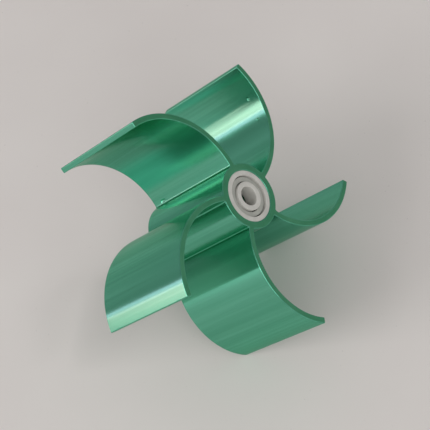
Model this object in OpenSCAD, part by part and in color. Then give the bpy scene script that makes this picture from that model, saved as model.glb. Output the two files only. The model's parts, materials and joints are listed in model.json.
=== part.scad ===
// Vane wheel: an extruded hub with curved blades that turns on a ball bearing pressed into
// each end of the hub. The origin is on the axis, half way along the wheel. +Z points out of
// the front end, and the tip of one blade lies on +Y.

/* [Wheel] */
// Diameter over the blade tips
wheel_d = 120; // [116:1:126]
// Length of the wheel along its axis
wheel_len = 50; // [30:1:90]
// Number of blades
blade_count = 5; // [3:1:5]
// Thickness of a blade
blade_t = 2.5; // [2:0.1:3.5]
// Radius of the arc along the middle of a blade
blade_mean_r = 32.5; // [31.5:0.5:34]
// Distance from the wheel's axis to the centre of a blade's arc
blade_centre_d = 35.4; // [34.5:0.1:36]
// Radius of the fillet where a blade's hollow side meets the hub
root_fillet_r = 0.9; // [0.5:0.1:2]

/* [Hub] */
// Outside diameter of the hub
hub_d = 28; // [27:0.5:30]
// Bore between the two bearing pockets
hub_bore_d = 20; // [18.5:0.5:21]
// How far a bearing's face lies below the end of the hub
bearing_recess = 0.2; // [0.1:0.1:1]

/* [Bearing] */
// Outside diameter of the bearing
bearing_d = 22; // [22:1:22]
// Bore of the bearing, which takes the axle
bearing_bore_d = 8; // [8:1:8]
// Width of the bearing
bearing_w = 7; // [7:1:7]
// Inside diameter of the outer ring beside its groove
outer_ring_land_d = 17.8; // [17.4:0.1:18]
// Outside diameter of the inner ring beside its groove
inner_ring_land_d = 12.3; // [12:0.1:12.6]
// Chamfer on the corners of both rings
ring_chamfer = 0.3; // [0.1:0.1:0.4]
// Number of balls
ball_count = 7; // [5:1:7]
// Diameter of a ball
ball_d = 3.969; // [3.9:0.001:4]
// Clearance between a ball and the grooves it rolls in
groove_clear = 0.066; // [0.03:0.001:0.1]

/* [Cage] */
// How far the cage's closed side lies below the bearing's face
cage_depth = 1; // [0.8:0.1:1.1]
// Width of the cage along the axis
cage_w = 3.5; // [3.3:0.1:3.7]
// Clearance between the cage and each ring
cage_side_clear = 0.35; // [0.3:0.05:0.5]
// Clearance between a ball and its pocket
pocket_clear = 0.08; // [0.03:0.01:0.1]

/* [Hidden] */
numbers = [for (i = [1:ball_count]) i];
$fn = 96;
// Extra reach of a cutting shape past the face it cuts
over = 1;

// Blade: an arc whose centre is on local +X, from inside the hub out to the tip circle
blade_out_r = blade_mean_r + blade_t / 2;
blade_in_r = blade_mean_r - blade_t / 2;
// Angles at the arc's centre, measured from the direction of the wheel's axis
blade_root_a = 15;
blade_tip_a = acos(
    (pow(blade_out_r, 2) + pow(blade_centre_d, 2) - pow(wheel_d / 2, 2))
    / (2 * blade_out_r * blade_centre_d)
);
blade_tip = [
    blade_centre_d + blade_out_r * cos(180 + blade_tip_a),
    blade_out_r * sin(180 + blade_tip_a)
];
// Turn that brings the first blade's tip onto +Y
blade_turn = 90 - atan2(blade_tip[1], blade_tip[0]);

// Root fillet: a circle that touches the hub and the blade's hollow side
hub_r = hub_d / 2;
fillet_hub_d = hub_r + root_fillet_r;
fillet_arc_d = blade_in_r - root_fillet_r;
fillet_a = -acos(
    (pow(fillet_hub_d, 2) + pow(blade_centre_d, 2) - pow(fillet_arc_d, 2))
    / (2 * fillet_hub_d * blade_centre_d)
);
fillet_centre = fillet_hub_d * [cos(fillet_a), sin(fillet_a)];
arc_centre = [blade_centre_d, 0];
// How far the fillet's corners reach into the hub and the blade
fillet_root = 0.8;
// The fillet's circle cuts this much past the faces, so that they meet cleanly
fillet_bite = 0.02;

// Bearing
pitch_r = (bearing_d + bearing_bore_d) / 4;
ball_r = ball_d / 2;
groove_r = ball_r + groove_clear;
pocket_r = ball_r + pocket_clear;
outer_land_r = outer_ring_land_d / 2;
inner_land_r = inner_ring_land_d / 2;
inner_edge_chamfer = 0.15;

// Point of a circle round c, at radius r and towards point p
function towards(c, p, r) = c + r * (p - c) / norm(p - c);

module blade_outline() {
    far = 2 * blade_out_r;
    middle_a = (blade_root_a + blade_tip_a) / 2;
    intersection() {
        translate(arc_centre)
            difference() {
                circle(r = blade_out_r, $fn = 360);
                circle(r = blade_in_r, $fn = 360);
            }
        translate(arc_centre)
            polygon(concat(
                [[0, 0]],
                [for (a = [blade_root_a, middle_a, blade_tip_a]) -far * [cos(a), sin(a)]]
            ));
    }
}

module root_fillet_outline() {
    in_hub = towards([0, 0], fillet_centre, hub_r - fillet_root);
    in_blade = towards(arc_centre, fillet_centre, blade_in_r + fillet_root);
    corner = towards([0, 0], in_blade, hub_r - fillet_root);
    difference() {
        polygon([fillet_centre, in_hub, corner, in_blade]);
        translate(fillet_centre)
            circle(r = root_fillet_r + fillet_bite);
    }
}

module wheel_outline() {
    circle(r = hub_r, $fn = 180);
    for (i = [0:blade_count - 1])
        rotate(blade_turn + i * 360 / blade_count) {
            blade_outline();
            root_fillet_outline();
        }
}

module vane_wheel() {
    pocket_depth = bearing_w + bearing_recess;
    color("seagreen")
        difference() {
            translate([0, 0, -wheel_len / 2])
                linear_extrude(height = wheel_len)
                    wheel_outline();
            cylinder(d = hub_bore_d, h = wheel_len + 2 * over, center = true);
            for (side = [-1, 1])
                translate([0, 0, side * (wheel_len / 2 - pocket_depth / 2 + over / 2)])
                    cylinder(d = bearing_d, h = pocket_depth + over, center = true);
        }
}

// A bearing is drawn with its outer face at z = 0 and its width going down
module at_front() {
    translate([0, 0, wheel_len / 2 - bearing_recess])
        children();
}

module at_rear() {
    mirror([0, 0, 1])
        at_front()
            children();
}

module groove_outline() {
    translate([pitch_r, -bearing_w / 2])
        circle(r = groove_r);
}

// Ring section between two radii, with its own chamfer on each wall
module ring_section(r_in, r_out, chamfer_in, chamfer_out) {
    polygon([
        [r_in + chamfer_in, 0],
        [r_out - chamfer_out, 0],
        [r_out, -chamfer_out],
        [r_out, chamfer_out - bearing_w],
        [r_out - chamfer_out, -bearing_w],
        [r_in + chamfer_in, -bearing_w],
        [r_in, chamfer_in - bearing_w],
        [r_in, -chamfer_in]
    ]);
}

module outer_ring() {
    color("gainsboro")
        rotate_extrude()
            difference() {
                ring_section(outer_land_r, bearing_d / 2, inner_edge_chamfer, ring_chamfer);
                groove_outline();
            }
}

module inner_ring() {
    color("whitesmoke")
        rotate_extrude()
            difference() {
                ring_section(bearing_bore_d / 2, inner_land_r, ring_chamfer, inner_edge_chamfer);
                groove_outline();
            }
}

// Places its children at the centre of ball number i
module at_ball(i) {
    rotate([0, 0, 90 + (i - 1) * 360 / ball_count])
        translate([pitch_r, 0, -bearing_w / 2])
            children();
}

module ball(i) {
    color("lightsteelblue")
        at_ball(i)
            sphere(r = ball_r);
}

module ball_cage() {
    cage_in_r = inner_land_r + cage_side_clear;
    cage_out_r = outer_land_r - cage_side_clear;
    color("lightgray")
        difference() {
            rotate_extrude()
                translate([cage_in_r, -cage_depth - cage_w])
                    square([cage_out_r - cage_in_r, cage_w]);
            for (i = numbers)
                at_ball(i)
                    sphere(r = pocket_r);
        }
}

vane_wheel();

at_front() outer_ring();  // front_outer_ring
at_front() inner_ring();  // front_inner_ring
at_front() ball_cage();  // front_ball_cage
for (i = numbers)
    at_front() ball(i);

at_rear() outer_ring();  // rear_outer_ring
at_rear() inner_ring();  // rear_inner_ring
at_rear() ball_cage();  // rear_ball_cage
for (i = numbers)
    at_rear() ball(i);
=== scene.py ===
import json
import math

import bmesh
import bpy
from mathutils import Matrix, Vector, geometry, noise


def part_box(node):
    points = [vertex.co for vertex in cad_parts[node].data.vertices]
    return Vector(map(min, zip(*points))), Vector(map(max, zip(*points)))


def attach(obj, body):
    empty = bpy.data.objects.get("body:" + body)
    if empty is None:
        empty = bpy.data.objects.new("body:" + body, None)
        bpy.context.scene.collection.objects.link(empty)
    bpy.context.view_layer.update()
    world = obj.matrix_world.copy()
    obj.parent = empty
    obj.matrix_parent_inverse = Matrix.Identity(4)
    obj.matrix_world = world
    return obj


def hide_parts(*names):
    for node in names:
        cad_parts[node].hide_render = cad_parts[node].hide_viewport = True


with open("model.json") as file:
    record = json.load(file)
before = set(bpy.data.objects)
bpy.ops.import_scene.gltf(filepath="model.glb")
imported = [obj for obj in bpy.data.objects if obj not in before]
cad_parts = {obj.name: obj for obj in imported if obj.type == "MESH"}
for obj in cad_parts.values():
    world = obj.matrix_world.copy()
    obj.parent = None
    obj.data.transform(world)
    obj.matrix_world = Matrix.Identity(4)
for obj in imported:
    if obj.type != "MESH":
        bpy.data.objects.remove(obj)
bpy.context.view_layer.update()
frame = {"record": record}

# Vane wheel on two ball bearings. Lengths are in metres, in the CAD frame: the origin is on the
# axis half way along the wheel, +Z points out of the front end, and one blade's tip is on +Y.
MM = 0.001

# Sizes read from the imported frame
WHEEL_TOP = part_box("vane_wheel")[1]
TIP_R = WHEEL_TOP.y
HALF_LEN = WHEEL_TOP.z
RING_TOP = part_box("front_outer_ring")[1]
BEARING_R = RING_TOP.x
BEARING_FACE = RING_TOP.z
BEARING_W = RING_TOP.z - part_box("front_outer_ring")[0].z
INNER_LAND_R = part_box("front_inner_ring")[1].x
CAGE_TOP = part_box("front_ball_cage")[1]
CAGE_W = CAGE_TOP.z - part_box("front_ball_cage")[0].z
BALL_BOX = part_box("front_ball_1")
BALL_R = (BALL_BOX[1].x - BALL_BOX[0].x) / 2
PITCH_R = (BALL_BOX[1].y + BALL_BOX[0].y) / 2
BORE_R = frame["record"]["mounts"][0]["dims"]["r_mm"] * MM

# Wheel section, as the part's source has it
BLADES = 5
BLADE_OUT_R = 33.75 * MM
BLADE_IN_R = 31.25 * MM
ARC_CENTRE_D = 35.4 * MM
HUB_R = 14 * MM
HUB_BORE_R = 10 * MM
HOLLOW_FILLET_R = 0.9 * MM
CREST_FILLET_R = 0.35 * MM
TIP_CORNER_R = 0.4 * MM
END_ROUND = 0.28 * MM

# Bearing section
OUTER_LAND_R = 8.9 * MM
GROOVE_R = 2.05 * MM
OUTER_CORNER = 0.3 * MM
LAND_CORNER = 0.15 * MM
CAGE_GAP = 0.35 * MM
POCKET_R = 2.065 * MM
BALLS = 7


# ---------------------------------------------------------------- outline of the wheel

def polar(r, angle):
    return Vector((r * math.cos(angle), r * math.sin(angle)))


def arc(centre, r, start, end, step):
    """Points along an arc, ends included, no further apart than step."""
    n = max(2, math.ceil(abs(end - start) * r / step))
    return [centre + polar(r, start + (end - start) * i / n) for i in range(n + 1)]


def heading(a, b):
    """Angle of the direction from a to b."""
    return math.atan2(b.y - a.y, b.x - a.x)


def near(angle, other):
    """The same angle, brought within half a turn of the other."""
    return angle + math.tau * round((other - angle) / math.tau)


def triangle_angle(a, b, opposite):
    """Angle between sides a and b of a triangle."""
    return math.acos((a * a + b * b - opposite * opposite) / (2 * a * b))


AXIS = Vector((0, 0))
ARC_CENTRE = Vector((ARC_CENTRE_D, 0))
TIP_ANGLE = triangle_angle(BLADE_OUT_R, ARC_CENTRE_D, TIP_R)
TIP_CORNER = ARC_CENTRE + polar(BLADE_OUT_R, math.pi + TIP_ANGLE)
BLADE_TURN = math.pi / 2 - heading(AXIS, TIP_CORNER)
WALL_STEP = 0.5 * MM

# The die leaves the walls slightly wavy, and all of it lies inside the nominal outline
BROAD_WAVE = 0.010 * MM
FINE_WAVE = 0.0035 * MM
ROUND_STEP = 0.07 * MM
BORE_SEGMENTS = 144

# Small marks pressed into the walls: (blade, arc angle from the hub side, height, half width
# along the wall, half length along the axis, depth)
MARKS = (
    (1, math.radians(94.8), 19.45 * MM, 0.85 * MM, 0.85 * MM, 0.32 * MM),
    (1, math.radians(76.6), 20.0 * MM, 0.85 * MM, 0.85 * MM, 0.32 * MM),
    (2, math.radians(25.8), -18.9 * MM, 0.75 * MM, 1.9 * MM, 0.30 * MM),
)
MARK_STEP = 0.16 * MM


def fillet(blade_r, hollow, r):
    """Centre of the round between the hub and one side of a blade, clockwise of the blade's middle."""
    reach = blade_r - r if hollow else blade_r + r
    angle = triangle_angle(HUB_R + r, ARC_CENTRE_D, reach)
    return polar(HUB_R + r, -angle)


def refined_arc(r, start, end, marked_angles):
    """Blade arc from start to end, with closer points near each marked angle."""
    points, angle = [], start
    sign = 1 if end > start else -1
    while sign * (end - angle) > 1e-9:
        points.append(ARC_CENTRE + polar(r, math.pi + angle))
        close = any(abs(angle - m) * r < 1.5 * MM for m in marked_angles)
        step = (MARK_STEP if close else WALL_STEP) / r
        angle += sign * step
        if sign * (end - angle) < 0.3 * step:
            break
    points.append(ARC_CENTRE + polar(r, math.pi + end))
    return points


def blade_outline(blade):
    """One blade's outline in its own frame, with its arc centre on +X, anticlockwise from the hub."""
    crest_c = fillet(BLADE_OUT_R, False, CREST_FILLET_R)
    hollow_c = fillet(BLADE_IN_R, True, HOLLOW_FILLET_R)
    marked = [m[1] for m in MARKS if m[0] == blade]

    crest_a = heading(ARC_CENTRE, crest_c) % math.tau - math.pi
    hollow_a = heading(ARC_CENTRE, hollow_c) % math.tau - math.pi
    out_c_r = BLADE_OUT_R - TIP_CORNER_R
    in_c_r = BLADE_IN_R + TIP_CORNER_R
    out_a = TIP_ANGLE - math.asin(TIP_CORNER_R / out_c_r)
    in_a = TIP_ANGLE - math.asin(TIP_CORNER_R / in_c_r)
    out_c = ARC_CENTRE + polar(out_c_r, math.pi + out_a)
    in_c = ARC_CENTRE + polar(in_c_r, math.pi + in_a)
    across_tip = math.pi / 2 + math.pi + TIP_ANGLE

    hub_side = heading(crest_c, AXIS)
    blade_side = near(heading(crest_c, ARC_CENTRE), hub_side)
    points = arc(crest_c, CREST_FILLET_R, hub_side, blade_side, ROUND_STEP)[:-1]
    points += refined_arc(BLADE_OUT_R, crest_a, out_a, [])[:-1]
    points += arc(out_c, TIP_CORNER_R, math.pi + out_a, across_tip, ROUND_STEP)
    points += arc(in_c, TIP_CORNER_R, across_tip, math.tau + in_a, ROUND_STEP)[:-1]
    points += refined_arc(BLADE_IN_R, in_a, hollow_a, marked)[:-1]
    blade_side = heading(ARC_CENTRE, hollow_c)
    hub_side = near(heading(hollow_c, AXIS), blade_side)
    points += arc(hollow_c, HOLLOW_FILLET_R, blade_side, hub_side, ROUND_STEP)
    return points


def wheel_outline():
    """The wheel's whole outline, anticlockwise."""
    points = []
    for blade in range(BLADES):
        turn = BLADE_TURN + blade * math.tau / BLADES
        spin = Matrix.Rotation(turn, 2)
        own = [spin @ p for p in blade_outline(blade)]
        points += own
        following = Matrix.Rotation(turn + math.tau / BLADES, 2) @ blade_outline(blade)[0]
        start = heading(AXIS, own[-1])
        end = heading(AXIS, following)
        end += math.tau * math.ceil((start - end) / math.tau)
        points += arc(AXIS, HUB_R, start, end, WALL_STEP)[1:-1]
    return points


def outward(points):
    """Unit normals of a closed anticlockwise outline."""
    n = len(points)
    normals = []
    for i in range(n):
        along = (points[(i + 1) % n] - points[i]).normalized() + (points[i] - points[i - 1]).normalized()
        normals.append(Vector((along.y, -along.x)).normalized())
    return normals


# ---------------------------------------------------------------- mesh helpers

def make_object(name, bm):
    mesh = bpy.data.meshes.new(name)
    bm.normal_update()
    bm.to_mesh(mesh)
    bm.free()
    piece = bpy.data.objects.new(name, mesh)
    bpy.context.scene.collection.objects.link(piece)
    return piece


def soften(piece, sharp_angle):
    """Smooth shading that keeps flat faces flat and real edges crisp."""
    piece.data.polygons.foreach_set("use_smooth", [True] * len(piece.data.polygons))
    piece.data.set_sharp_from_angle(angle=math.radians(sharp_angle))
    weighted = piece.modifiers.new("flat faces stay flat", "WEIGHTED_NORMAL")
    weighted.keep_sharp = True
    weighted.weight = 80


def loft(bm, rings):
    """Quads between closed rings of vertices, each ring anticlockwise and each lower than the next."""
    for low, high in zip(rings, rings[1:]):
        n = len(low)
        for i in range(n):
            j = (i + 1) % n
            bm.faces.new((low[i], low[j], high[j], high[i]))


def rounded_profile(corners):
    """Section polygon from (r, z, radius) corners, each rounded by its radius."""
    points = []
    n = len(corners)
    for i, (r, z, round_r) in enumerate(corners):
        here = Vector((r, z))
        if round_r == 0:
            points.append(here)
            continue
        before = (Vector(corners[i - 1][:2]) - here).normalized()
        after = (Vector(corners[(i + 1) % n][:2]) - here).normalized()
        half = before.angle(after) / 2
        set_back = round_r / math.tan(half)
        centre = here + (before + after).normalized() * round_r / math.sin(half)
        start = heading(centre, here + before * set_back)
        end = near(heading(centre, here + after * set_back), start)
        points += arc(centre, round_r, start, end, round_r * 0.35)
    return points


def lathe(name, section, segments):
    """Solid of revolution about Z from a closed section, anticlockwise in (r, z)."""
    bm = bmesh.new()
    rings = []
    for p in section:
        ring = [polar(p.x, math.tau * k / segments) for k in range(segments)]
        rings.append([bm.verts.new((q.x, q.y, p.y)) for q in ring])
    loft(bm, rings + rings[:1])
    bmesh.ops.recalc_face_normals(bm, faces=bm.faces)
    return make_object(name, bm)


def to_side(piece, side):
    """Mirrors a piece made for the front end to the rear end."""
    if side < 0:
        piece.data.transform(Matrix.Scale(-1, 4, (0, 0, 1)))
        piece.data.flip_normals()
    return piece


# ---------------------------------------------------------------- materials

class Nodes:
    """A new node material and short ways to wire it."""

    def __init__(self, name):
        self.material = bpy.data.materials.new(name)
        self.material.use_nodes = True
        self.tree = self.material.node_tree
        self.shader = self.tree.nodes["Principled BSDF"]
        self.place = self.node("ShaderNodeTexCoord").outputs["Object"]

    def node(self, kind, inputs=None, **settings):
        made = self.tree.nodes.new(kind)
        for key, value in settings.items():
            setattr(made, key, value)
        for key, value in (inputs or {}).items():
            if isinstance(value, bpy.types.NodeSocket):
                self.tree.links.new(value, made.inputs[key])
            else:
                made.inputs[key].default_value = value
        return made

    def stretched(self, scale):
        return self.node("ShaderNodeMapping", {"Vector": self.place, "Scale": scale}).outputs[0]

    def distance_from_axis(self):
        flat = self.stretched((1, 1, 0))
        return self.node("ShaderNodeVectorMath", {0: flat}, operation="LENGTH").outputs["Value"]

    def noise(self, place, scale, detail=3.0, roughness=0.5, distortion=0.0):
        settings = {
            "Vector": place, "Scale": scale, "Detail": detail,
            "Roughness": roughness, "Distortion": distortion,
        }
        return self.node("ShaderNodeTexNoise", settings).outputs["Fac"]

    def remap(self, value, low, high, to_low, to_high):
        settings = {
            "Value": value, "From Min": low, "From Max": high, "To Min": to_low, "To Max": to_high,
        }
        return self.node("ShaderNodeMapRange", settings).outputs["Result"]

    def mix(self, factor, a, b, blend="MIX"):
        made = self.node("ShaderNodeMix", data_type="RGBA", blend_type=blend)
        for index, value in ((0, factor), (6, a), (7, b)):
            if isinstance(value, bpy.types.NodeSocket):
                self.tree.links.new(value, made.inputs[index])
            else:
                made.inputs[index].default_value = value
        return made.outputs[2]

    def add(self, a, b, share=1.0):
        scaled = self.node("ShaderNodeMath", {0: b, 1: share}, operation="MULTIPLY").outputs[0]
        return self.node("ShaderNodeMath", {0: a, 1: scaled}, operation="ADD").outputs[0]

    def bump(self, height, strength, distance):
        settings = {"Height": height, "Strength": strength, "Distance": distance}
        return self.node("ShaderNodeBump", settings).outputs["Normal"]

    def finish(self, **sockets):
        for key, value in sockets.items():
            socket = self.shader.inputs[key.replace("_", " ")]
            if isinstance(value, bpy.types.NodeSocket):
                self.tree.links.new(value, socket)
            else:
                socket.default_value = value
        return self.material


def anodised_wall():
    """Extruded aluminium, dyed green: die lines run along the axis under a clear oxide skin."""
    m = Nodes("anodised wall")
    lines = m.noise(m.stretched((1, 1, 0.012)), 900, detail=4, roughness=0.6)
    bands = m.noise(m.stretched((1, 1, 0.02)), 170, detail=2)
    cloud = m.noise(m.place, 60, detail=3)
    shade = m.remap(bands, 0.35, 0.65, 0, 1)
    dye = m.mix(shade, (0.114, 0.450, 0.298, 1), (0.162, 0.545, 0.380, 1))
    dye = m.mix(m.remap(lines, 0.3, 0.7, 0, 0.55), dye, (0.096, 0.405, 0.265, 1))
    rough = m.add(m.remap(lines, 0.3, 0.7, 0.15, 0.21), m.remap(cloud, 0.3, 0.7, 0, 0.02))
    height = m.add(lines, bands, 2.0)
    # Reflections smear along the axis and stay crisp across it, so they show as straight bands
    along = m.node(
        "ShaderNodeVectorTransform", {0: (0, 0, 1)},
        vector_type="VECTOR", convert_from="OBJECT", convert_to="WORLD",
    ).outputs[0]
    return m.finish(
        Base_Color=dye, Metallic=1.0, Roughness=rough, Anisotropic=1.0, Tangent=along,
        Coat_Weight=0.12, Coat_Roughness=0.1, Coat_IOR=1.6, Specular_Tint=(0.55, 0.85, 0.70, 1),
        Normal=m.bump(height, 0.10, 0.00002),
    )


def anodised_end():
    """Sawn and dyed end of the extrusion: matte, with the saw's faint arcs."""
    m = Nodes("anodised sawn end")
    warp = m.node(
        "ShaderNodeTexWave",
        {"Vector": m.place, "Scale": 420.0, "Distortion": 2.5, "Detail": 3.0, "Detail Scale": 1.5},
        wave_type="BANDS", bands_direction="DIAGONAL",
    ).outputs["Fac"]
    grain = m.noise(m.place, 2600, detail=4, roughness=0.65)
    cloud = m.noise(m.place, 140, detail=2)
    dye = m.mix(m.remap(cloud, 0.3, 0.7, 0, 1), (0.066, 0.312, 0.165, 1), (0.098, 0.372, 0.207, 1))
    dye = m.mix(m.remap(grain, 0.35, 0.65, 0, 0.4), dye, (0.046, 0.240, 0.122, 1))
    rough = m.remap(grain, 0.3, 0.7, 0.42, 0.6)
    height = m.add(grain, warp, 0.5)
    return m.finish(
        Base_Color=dye, Metallic=0.85, Roughness=rough,
        Normal=m.bump(height, 0.4, 0.00003),
    )


# Radians of turning mark per metre of radius: one mark about every 0.12 mm
TURNING_RATE = 52000.0


def plastic(name, light, dark, rough, scratch):
    """Machined or moulded bearing plastic with faint turning marks and cloudy colour."""
    m = Nodes(name)
    turning = {0: m.distance_from_axis(), 1: TURNING_RATE}
    rings = m.node("ShaderNodeMath", turning, operation="MULTIPLY").outputs[0]
    rings = m.node("ShaderNodeMath", {0: rings}, operation="SINE").outputs[0]
    grain = m.noise(m.place, 3500, detail=3, roughness=0.6)
    cloud = m.noise(m.place, 260, detail=3)
    colour = m.mix(m.remap(cloud, 0.3, 0.7, 0, 1), light, dark)
    colour = m.mix(m.remap(grain, 0.4, 0.75, 0, 0.25), colour, dark)
    height = m.add(grain, rings, scratch)
    return m.finish(
        Base_Color=colour, Roughness=m.remap(grain, 0.3, 0.7, rough - 0.06, rough + 0.1),
        Normal=m.bump(height, 0.25, 0.00002),
    )


def ball_glass():
    """Clear glass ball with a few faint swirls."""
    m = Nodes("ball glass")
    swirl = m.noise(m.place, 700, detail=2, distortion=1.5)
    colour = m.mix(m.remap(swirl, 0.35, 0.65, 0, 1), (0.86, 0.93, 0.91, 1), (0.78, 0.88, 0.86, 1))
    return m.finish(
        Base_Color=colour, Roughness=m.remap(swirl, 0.3, 0.7, 0.02, 0.06),
        Transmission_Weight=0.9, IOR=1.52,
    )


WALL = anodised_wall()
END = anodised_end()
RING = plastic("ring acetal", (0.70, 0.69, 0.64, 1), (0.58, 0.57, 0.53, 1), 0.42, 0.35)
CAGE = plastic("cage nylon", (0.50, 0.51, 0.46, 1), (0.42, 0.43, 0.39, 1), 0.5, 0.0)
GLASS = ball_glass()


# ---------------------------------------------------------------- the pieces

def bore_levels():
    """(radius, height) of the hub's inside from the rear mouth to the front one."""
    depth = HALF_LEN - BEARING_FACE + BEARING_W
    shoulder = HALF_LEN - depth
    edge = 0.35 * MM
    upper = [
        (HUB_BORE_R, shoulder - edge),
        (HUB_BORE_R + edge, shoulder),
        (BEARING_R, shoulder),
        (BEARING_R, HALF_LEN - END_ROUND),
        (BEARING_R + 0.3 * END_ROUND, HALF_LEN - 0.3 * END_ROUND),
        (BEARING_R + END_ROUND, HALF_LEN),
    ]
    return [(r, -z) for r, z in reversed(upper)] + upper


def waviness(point):
    """How far the die's wear moves the wall in at this point, as a length of zero or less."""
    place = Vector((point.x, point.y, 0))
    broad = noise.noise(place / (5.5 * MM))
    fine = noise.noise(place / (1.9 * MM) + Vector((7.3, 2.1, 0)))
    return BROAD_WAVE * (broad - 1) + FINE_WAVE * (fine - 1)


def mark_depth(point, height):
    """How deep the small pressed marks are at this point of the wall."""
    depth = 0.0
    for blade, angle, mark_z, half_w, half_l, deep in MARKS:
        turn = BLADE_TURN + blade * math.tau / BLADES
        centre = Matrix.Rotation(turn, 2) @ (ARC_CENTRE + polar(BLADE_IN_R, math.pi + angle))
        across = (point - centre).length / half_w
        along = (height - mark_z) / half_l
        share = 1 - across * across - along * along
        if share > 0:
            depth += deep * share * share * (3 - 2 * share)
    return depth


def wall_heights():
    """Heights of the wall's rows: few where it is plain, close together beside the small marks."""
    end = HALF_LEN - END_ROUND
    rows = {-end, end, 0.0}
    for mark in MARKS:
        mark_z, half_l = mark[2], mark[4]
        n = math.ceil(2.4 * half_l / MARK_STEP)
        for i in range(n + 1):
            rows.add(round(mark_z + 1.2 * half_l * (2 * i / n - 1), 7))
    return sorted(rows)


def vane_wheel():
    outline = wheel_outline()
    normals = outward(outline)
    skin = [p + n * waviness(p) for p, n in zip(outline, normals)]
    bm = bmesh.new()

    def ring(inset, height):
        made = []
        for p, n in zip(skin, normals):
            q = p - n * (inset + mark_depth(p, height))
            made.append(bm.verts.new((q.x, q.y, height)))
        return made

    rounding = [math.pi / 2 * i / 4 for i in range(4)]
    lower = [(END_ROUND * (1 - math.sin(a)), -HALF_LEN + END_ROUND * (1 - math.cos(a))) for a in rounding]
    upper = [(inset, -z) for inset, z in reversed(lower)]
    rows = lower + [(0, z) for z in wall_heights()] + upper
    wall = [ring(inset, z) for inset, z in rows]
    loft(bm, wall)

    bore = []
    for r, z in bore_levels():
        circle = [polar(r, math.tau * k / BORE_SEGMENTS) for k in range(BORE_SEGMENTS)]
        bore.append([bm.verts.new((q.x, q.y, z)) for q in circle])
    loft(bm, [level[::-1] for level in bore])

    for outer, inner, facing in ((wall[-1], bore[-1], 1), (wall[0], bore[0], -1)):
        verts = outer + inner
        n, k = len(outer), len(inner)
        edges = [(i, (i + 1) % n) for i in range(n)] + [(n + i, n + (i + 1) % k) for i in range(k)]
        flat = [Vector(v.co.xy) for v in verts]
        points, _, faces, source, _, _ = geometry.delaunay_2d_cdt(flat, edges, [], 1, 1e-9)
        hole = (BEARING_R + END_ROUND) * math.cos(math.pi / BORE_SEGMENTS) ** 2
        for face in faces:
            if sum((points[i] for i in face), Vector((0, 0))).length / 3 < hole:
                continue
            corners = [verts[source[i][0]] for i in face]
            bm.faces.new(corners if facing > 0 else corners[::-1]).material_index = 1
    piece = make_object("wheel_extrusion", bm)
    piece.data.materials.append(WALL)
    piece.data.materials.append(END)
    soften(piece, 50)
    return piece


def groove(towards_axis):
    """Arc of the ball groove between its two land edges, from its lower edge up."""
    land = INNER_LAND_R if towards_axis else OUTER_LAND_R
    half = math.acos(abs(PITCH_R - land) / GROOVE_R)
    centre = Vector((PITCH_R, BEARING_FACE - BEARING_W / 2))
    middle = math.pi if towards_axis else 0.0
    turn = -1 if towards_axis else 1
    return arc(centre, GROOVE_R, middle - turn * half, middle + turn * half, 0.12 * MM)


def outer_ring(end):
    top, bottom = BEARING_FACE, BEARING_FACE - BEARING_W
    corners = [
        (OUTER_LAND_R, bottom, LAND_CORNER), (BEARING_R, bottom, OUTER_CORNER),
        (BEARING_R, top, OUTER_CORNER), (OUTER_LAND_R, top, LAND_CORNER),
    ]
    section = rounded_profile(corners) + groove(False)[::-1]
    return lathe(f"{end}_outer_race", section, 160)


def inner_ring(end):
    top, bottom = BEARING_FACE, BEARING_FACE - BEARING_W
    corners = [
        (INNER_LAND_R, top, LAND_CORNER), (BORE_R, top, OUTER_CORNER),
        (BORE_R, bottom, OUTER_CORNER), (INNER_LAND_R, bottom, LAND_CORNER),
    ]
    section = rounded_profile(corners) + groove(True)[::-1]
    return lathe(f"{end}_inner_race", section, 128)


def quad_sphere(bm, centre, r, cuts):
    """A sphere of even quads, made by swelling a divided cube."""
    made = bmesh.ops.create_cube(bm, size=2)
    edges = list({e for v in made["verts"] for e in v.link_edges})
    bmesh.ops.subdivide_edges(bm, edges=edges, cuts=cuts, use_grid_fill=True)
    for v in bm.verts:
        if not v.tag:
            v.co = centre + v.co.normalized() * r
            v.tag = True


def ball_place(number):
    angle = math.pi / 2 + (number - 1) * math.tau / BALLS
    return Vector((*polar(PITCH_R, angle), BEARING_FACE - BEARING_W / 2))


def ball(end, number):
    bm = bmesh.new()
    quad_sphere(bm, ball_place(number), BALL_R, 11)
    return make_object(f"{end}_glass_ball_{number}", bm)


def cage(end):
    """Crown cage: a closed web in front, and seven pockets open towards the hub."""
    top, bottom = CAGE_TOP.z, CAGE_TOP.z - CAGE_W
    inside, outside = INNER_LAND_R + CAGE_GAP, OUTER_LAND_R - CAGE_GAP
    edge = 0.18 * MM
    section = rounded_profile([
        (inside, bottom, edge), (outside, bottom, edge), (outside, top, edge), (inside, top, edge),
    ])
    body = lathe(f"{end}_crown_cage", section, 168)
    bm = bmesh.new()
    for number in range(1, BALLS + 1):
        quad_sphere(bm, ball_place(number), POCKET_R, 13)
    pockets = make_object("pockets", bm)
    cut = body.modifiers.new("pockets", "BOOLEAN")
    cut.operation, cut.solver, cut.object = "DIFFERENCE", "EXACT", pockets
    bpy.context.view_layer.update()
    result = bpy.data.meshes.new_from_object(body.evaluated_get(bpy.context.evaluated_depsgraph_get()))
    body.modifiers.clear()
    body.data = result
    bpy.data.objects.remove(pockets)
    return body


def place(piece, material, body, node, slot_name):
    """Gives a piece its finish and its body, and hides the CAD node that it stands for."""
    if not piece.data.materials:
        piece.data.materials.append(material)
    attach(piece, body)
    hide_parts(node)


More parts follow.
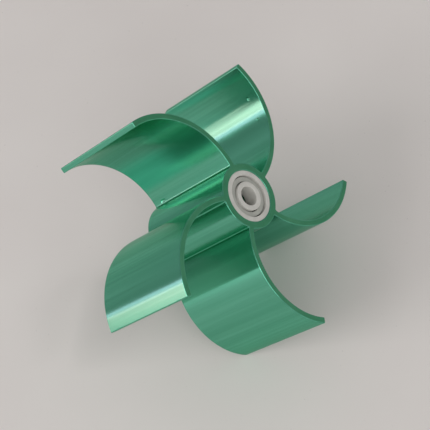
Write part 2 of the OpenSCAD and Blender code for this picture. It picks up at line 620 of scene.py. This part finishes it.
place(vane_wheel(), WALL, "wheel", "vane_wheel", "green_anodised")
for end, side in (("front", 1), ("rear", -1)):
    race = to_side(outer_ring(end), side)
    soften(race, 40)
    place(race, RING, "wheel", f"{end}_outer_ring", "ring_plastic")
    race = to_side(inner_ring(end), side)
    soften(race, 40)
    place(race, RING, f"{end}_inner_ring", f"{end}_inner_ring", "ring_plastic")
    web = to_side(cage(end), side)
    soften(web, 40)
    place(web, CAGE, f"{end}_cage", f"{end}_ball_cage", "cage_plastic")
    for number in range(1, BALLS + 1):
        bead = to_side(ball(end, number), side)
        soften(bead, 60)
        place(bead, GLASS, f"{end}_ball_{number}", f"{end}_ball_{number}", "ball_glass")


# ---------------------------------------------------------------- camera

# Where the camera looks, and where it stands round that point. The lens is in millimetres.
AIM = Vector((-0.25, 2.5, 0)) * MM
CAMERA_DISTANCE = 571 * MM
CAMERA_AZIMUTH = math.radians(-76.1)
CAMERA_ELEVATION = math.radians(45)
CAMERA_ROLL = math.radians(-62)
LENS = 115


def make_camera():
    back = Vector((
        math.cos(CAMERA_ELEVATION) * math.cos(CAMERA_AZIMUTH),
        math.cos(CAMERA_ELEVATION) * math.sin(CAMERA_AZIMUTH),
        math.sin(CAMERA_ELEVATION),
    ))
    level = Vector((0, 0, 1)).cross(back).normalized()
    upright = back.cross(level)
    up = math.cos(CAMERA_ROLL) * upright + math.sin(CAMERA_ROLL) * level
    right = up.cross(back)
    data = bpy.data.cameras.new("camera")
    data.lens = LENS
    camera = bpy.data.objects.new("camera", data)
    bpy.context.scene.collection.objects.link(camera)
    turn = Matrix((right, up, back)).transposed().to_4x4()
    camera.matrix_world = Matrix.Translation(AIM + back * CAMERA_DISTANCE) @ turn
    bpy.context.scene.camera = camera
    return right, up, back


RIGHT, UP, BACK = make_camera()


# ---------------------------------------------------------------- floor, world and lights

# The wheel leans on the rear corners of two neighbouring blades, so the floor slopes in its frame
LEAN = math.radians(48)
LEAN_AZIMUTH = math.radians(54)
FLOOR_UP = Vector((
    -math.sin(LEAN) * math.cos(LEAN_AZIMUTH),
    -math.sin(LEAN) * math.sin(LEAN_AZIMUTH),
    math.cos(LEAN),
))
STANDING_CORNER = Vector((*polar(TIP_R, math.pi / 2 - math.tau / BLADES), -HALF_LEN))
FLOOR_RADIUS = 1.3
# Shares of the radius where the floor starts to fade and where it has gone
FLOOR_FADE_FROM = 0.55
FLOOR_FADE_TO = 0.95
FLOOR_CLEARANCE = 0.1 * MM

# Glowing card behind one blade, seen only in reflections: it blocks the window there and paints a shaded
# reflection into its neighbour
REFLECTION_CARD_ROOT_ANGLE = math.radians(25)
REFLECTION_CARD_STEP = 1.5 * MM
REFLECTION_CARD_GAP = 0.2 * MM
REFLECTION_CARD_LEN = 55 * MM

# About the colour of the lit floor, for the camera to see past the floor's edge
BACKDROP = (0.53, 0.505, 0.49)

# Brightness of the room in each direction round the wheel's axis: (degrees from +X, brightness)
ROOM = (
    (-180, 0.4), (-140, 0.4), (-115, 0.3), (-85, 0.85), (-60, 0.8), (-45, 0.55), (-30, 0.5),
    (20, 0.5), (50, 0.7), (80, 0.55), (130, 0.35), (180, 0.4),
)


def floor_paper():
    """Pale painted board, seen from above only: it lets views from below pass, and fades out far away."""
    m = Nodes("pale board")
    mottle = m.noise(m.place, 9, detail=4)
    speck = m.noise(m.place, 700, detail=2)
    grain = m.noise(m.place, 1800, detail=3)
    colour = m.mix(m.remap(mottle, 0.3, 0.7, 0, 1), (0.755, 0.705, 0.680, 1), (0.795, 0.750, 0.722, 1))
    colour = m.mix(m.remap(speck, 0.72, 0.78, 0, 0.3), colour, (0.35, 0.33, 0.31, 1))
    m.finish(
        Base_Color=colour, Roughness=m.remap(grain, 0.3, 0.7, 0.55, 0.7), Specular_IOR_Level=0.0,
        Normal=m.bump(grain, 0.2, 0.0001),
    )
    out = m.tree.nodes["Material Output"]
    distance = m.node("ShaderNodeVectorMath", {0: m.place}, operation="LENGTH").outputs["Value"]
    fade = m.remap(distance, FLOOR_FADE_FROM * FLOOR_RADIUS, FLOOR_FADE_TO * FLOOR_RADIUS, 0, 1)
    below = m.node("ShaderNodeNewGeometry").outputs["Backfacing"]
    gone = m.node("ShaderNodeMath", {0: fade, 1: below}, operation="MAXIMUM").outputs[0]
    clear = m.node("ShaderNodeBsdfTransparent").outputs[0]
    mixed = m.node("ShaderNodeMixShader", {0: gone, 1: m.shader.outputs[0], 2: clear}).outputs[0]
    m.tree.links.new(mixed, out.inputs["Surface"])
    return m.material


def make_floor():
    bm = bmesh.new()
    bmesh.ops.create_circle(bm, cap_ends=True, segments=96, radius=FLOOR_RADIUS)
    floor = make_object("floor", bm)
    floor.data.materials.append(floor_paper())
    foot = FLOOR_UP * (FLOOR_UP.dot(STANDING_CORNER) - FLOOR_CLEARANCE)
    floor.matrix_world = Matrix.Translation(foot) @ FLOOR_UP.to_track_quat("Z", "Y").to_matrix().to_4x4()


def make_world():
    """Plain room, even but for its soft light and shade round the wheel's axis, behind a backdrop that
    only the camera sees."""
    world = bpy.data.worlds.new("room")
    bpy.context.scene.world = world
    world.use_nodes = True
    nodes, links = world.node_tree.nodes, world.node_tree.links
    room = nodes["Background"]
    split = nodes.new("ShaderNodeSeparateXYZ")
    links.new(nodes.new("ShaderNodeTexCoord").outputs["Generated"], split.inputs[0])
    azimuth = nodes.new("ShaderNodeMath")
    azimuth.operation = "ARCTAN2"
    links.new(split.outputs["Y"], azimuth.inputs[0])
    links.new(split.outputs["X"], azimuth.inputs[1])
    share = nodes.new("ShaderNodeMapRange")
    share.inputs["From Min"].default_value = -math.pi
    share.inputs["From Max"].default_value = math.pi
    links.new(azimuth.outputs[0], share.inputs["Value"])
    ramp = nodes.new("ShaderNodeValToRGB")
    links.new(share.outputs["Result"], ramp.inputs["Fac"])
    stops = ramp.color_ramp.elements
    while len(stops) > 1:
        stops.remove(stops[-1])
    for i, (degrees, level) in enumerate(ROOM):
        stop = stops[0] if i == 0 else stops.new((degrees + 180) / 360)
        stop.position = (degrees + 180) / 360
        stop.color = (level, level, level, 1)
    links.new(ramp.outputs["Color"], room.inputs["Color"])
    backdrop = nodes.new("ShaderNodeBackground")
    backdrop.inputs["Color"].default_value = (*BACKDROP, 1)
    seen = nodes.new("ShaderNodeLightPath")
    mix = nodes.new("ShaderNodeMixShader")
    links.new(seen.outputs["Is Camera Ray"], mix.inputs[0])
    links.new(room.outputs[0], mix.inputs[1])
    links.new(backdrop.outputs[0], mix.inputs[2])
    links.new(mix.outputs[0], nodes["World Output"].inputs["Surface"])


def soft_light(name, direction, distance, size, watts):
    """A softbox aimed at the wheel. The direction is (right, up, towards the camera), and distance and
    size are in metres."""
    data = bpy.data.lights.new(name, "AREA")
    data.size = size
    data.energy = watts
    light = bpy.data.objects.new(name, data)
    light.visible_camera = False
    bpy.context.scene.collection.objects.link(light)
    across, upward, towards = direction
    away = (RIGHT * across + UP * upward + BACK * towards).normalized()
    light.location = away * distance
    light.rotation_euler = away.to_track_quat("Z", "Y").to_euler()


def window_light(name, azimuth, spread, elevation, rise, distance, radiance):
    """A tall soft panel at one side, which shows in glossy reflections and gives no diffuse light.
    Azimuth and elevation are in degrees in the wheel's frame, spread and rise are the angles it takes
    up, and radiance is its own brightness."""
    turn, lift = math.radians(azimuth), math.radians(elevation)
    away = Vector((math.cos(turn) * math.cos(lift), math.sin(turn) * math.cos(lift), math.sin(lift)))
    width = 2 * distance * math.cos(lift) * math.tan(math.radians(spread / 2))
    height = 2 * distance * math.tan(math.radians(rise / 2))
    data = bpy.data.lights.new(name, "AREA")
    data.shape = "RECTANGLE"
    data.size, data.size_y = width, height
    brightest = max(radiance)
    data.color = [c / brightest for c in radiance]
    data.energy = brightest * math.pi * width * height
    light = bpy.data.objects.new(name, data)
    light.visible_camera = False
    light.visible_diffuse = False
    bpy.context.scene.collection.objects.link(light)
    across = Vector((0, 0, 1)).cross(away).normalized()
    facing = Matrix((across, away.cross(across), away)).transposed().to_4x4()
    light.matrix_world = Matrix.Translation(away * distance) @ facing


def painted_reflection_card(blade, painted_hub_glow, painted_tip_glow, painted_crest_glow):
    """Glowing card that continues one blade behind the wheel and is only seen in reflections, where its
    glow paints the shaded reflection in the next blade. Its hollow side keeps the window out of the
    shaded root of that blade. The colours are its own painted glow, darker at the hub than at the tip."""
    spin = Matrix.Rotation(BLADE_TURN + blade * math.tau / BLADES, 2)
    middle_r = (BLADE_OUT_R + BLADE_IN_R) / 2
    bend = arc(ARC_CENTRE, middle_r, math.pi + REFLECTION_CARD_ROOT_ANGLE, math.pi + TIP_ANGLE, REFLECTION_CARD_STEP)
    bm = bmesh.new()
    rows = []
    for height in (-HALF_LEN - REFLECTION_CARD_LEN, -HALF_LEN - REFLECTION_CARD_GAP):
        rows.append([bm.verts.new((*(spin @ p), height)) for p in bend])
    for i in range(len(bend) - 1):
        bm.faces.new((rows[0][i], rows[0][i + 1], rows[1][i + 1], rows[1][i]))
    card = make_object("painted_reflection_card", bm)
    m = Nodes("painted_reflection_card")
    # Painted shade: the hollow side's glow grades from dark at the hub to lighter at the tip
    shade = m.remap(m.distance_from_axis(), HUB_R, TIP_R, 0, 1)
    hollow_side = m.node("ShaderNodeNewGeometry").outputs["Backfacing"]
    colour = m.mix(hollow_side, (*painted_crest_glow, 1), m.mix(shade, (*painted_hub_glow, 1), (*painted_tip_glow, 1)))
    glow = m.node("ShaderNodeEmission", {"Color": colour}).outputs[0]
    m.tree.links.new(glow, m.tree.nodes["Material Output"].inputs["Surface"])
    card.data.materials.append(m.material)
    card.visible_camera = False
    card.visible_diffuse = False


make_floor()
make_world()
soft_light("key", (-0.82, -0.12, 0.6), 2.8, 1.6, 22)
soft_light("fill", (0.12, -0.2, 1.0), 2.4, 1.7, 12)
window_light("window", -95, 20, -40, 44, 0.93, (3.4, 1.3, 1.4))
window_light("window curtain", -107.5, 5, -40, 44, 0.93, (2.7, 1.35, 2.15))
# Glowing card behind blade 3 that paints a shaded reflection into its neighbour
painted_reflection_card(3, (0.13, 0.18, 0.155), (0.40, 0.50, 0.42), (0.28, 0.60, 0.52))
bpy.context.scene.view_settings.view_transform = "Standard"
